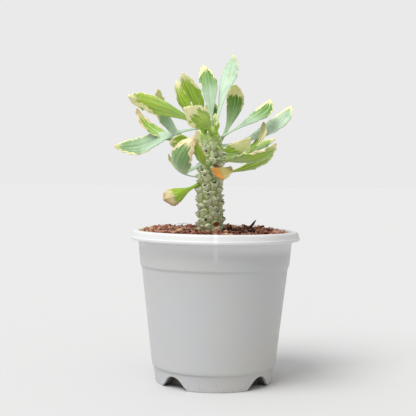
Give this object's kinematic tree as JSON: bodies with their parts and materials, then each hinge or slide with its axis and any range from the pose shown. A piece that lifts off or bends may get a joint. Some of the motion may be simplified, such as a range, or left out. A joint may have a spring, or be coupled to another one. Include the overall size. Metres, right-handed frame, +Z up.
{
  "type": "potted euphorbia",
  "caption": "Variegated succulent with a knobbly upright stem and spreading spoon-shaped leaves, growing in a white plastic nursery pot.",
  "frame": {"origin": "middle of the whole footprint at the level the pot stands on; the pot's own axis is 7.8 mm from it along +X, because the longest leaf reaches out past the rim on the -X side", "axes": "+Z up along the pot and stem, -Y towards the side the plant is seen from, +X to its right"},
  "size_m": [0.1256, 0.11, 0.2201],
  "materials": {
    "pot_plastic": "satin",
    "potting_mix": "matte",
    "bark": "matte",
    "stem_skin": "matte",
    "leaf_blade": "satin",
    "leaf_withered": "matte"
  },
  "bodies": {
    "root": {"bark_chip_dark": "bark", "bark_chip_far": "bark", "bark_chip_left": "bark", "bark_chip_long": "bark", "leaf_crown_back": "leaf_blade", "leaf_crown_front": "leaf_blade", "leaf_crown_left_inner": "leaf_blade", "leaf_crown_left_outer": "leaf_blade", "leaf_crown_right": "leaf_blade", "leaf_crown_tall": "leaf_blade", "leaf_far_high": "leaf_blade", "leaf_far_left": "leaf_blade", "leaf_far_low": "leaf_blade", "leaf_far_lowest": "leaf_blade", "leaf_far_middle": "leaf_blade", "leaf_far_upper": "leaf_blade", "leaf_front_curled": "leaf_blade", "leaf_front_small": "leaf_blade", "leaf_left_boat": "leaf_blade", "leaf_left_high": "leaf_blade", "leaf_left_long": "leaf_blade", "leaf_left_thin": "leaf_blade", "leaf_left_under": "leaf_blade", "leaf_left_upturned": "leaf_blade", "leaf_low_drooping": "leaf_blade", "leaf_right_back": "leaf_blade", "leaf_right_boat": "leaf_blade", "leaf_right_front": "leaf_blade", "leaf_right_high": "leaf_blade", "leaf_right_long": "leaf_blade", "leaf_right_low": "leaf_blade", "leaf_right_trough": "leaf_blade", "leaf_withered": "leaf_withered", "pot": "pot_plastic", "soil": "potting_mix", "stem": "stem_skin", "twig": "bark"}
  },
  "joints": []
}
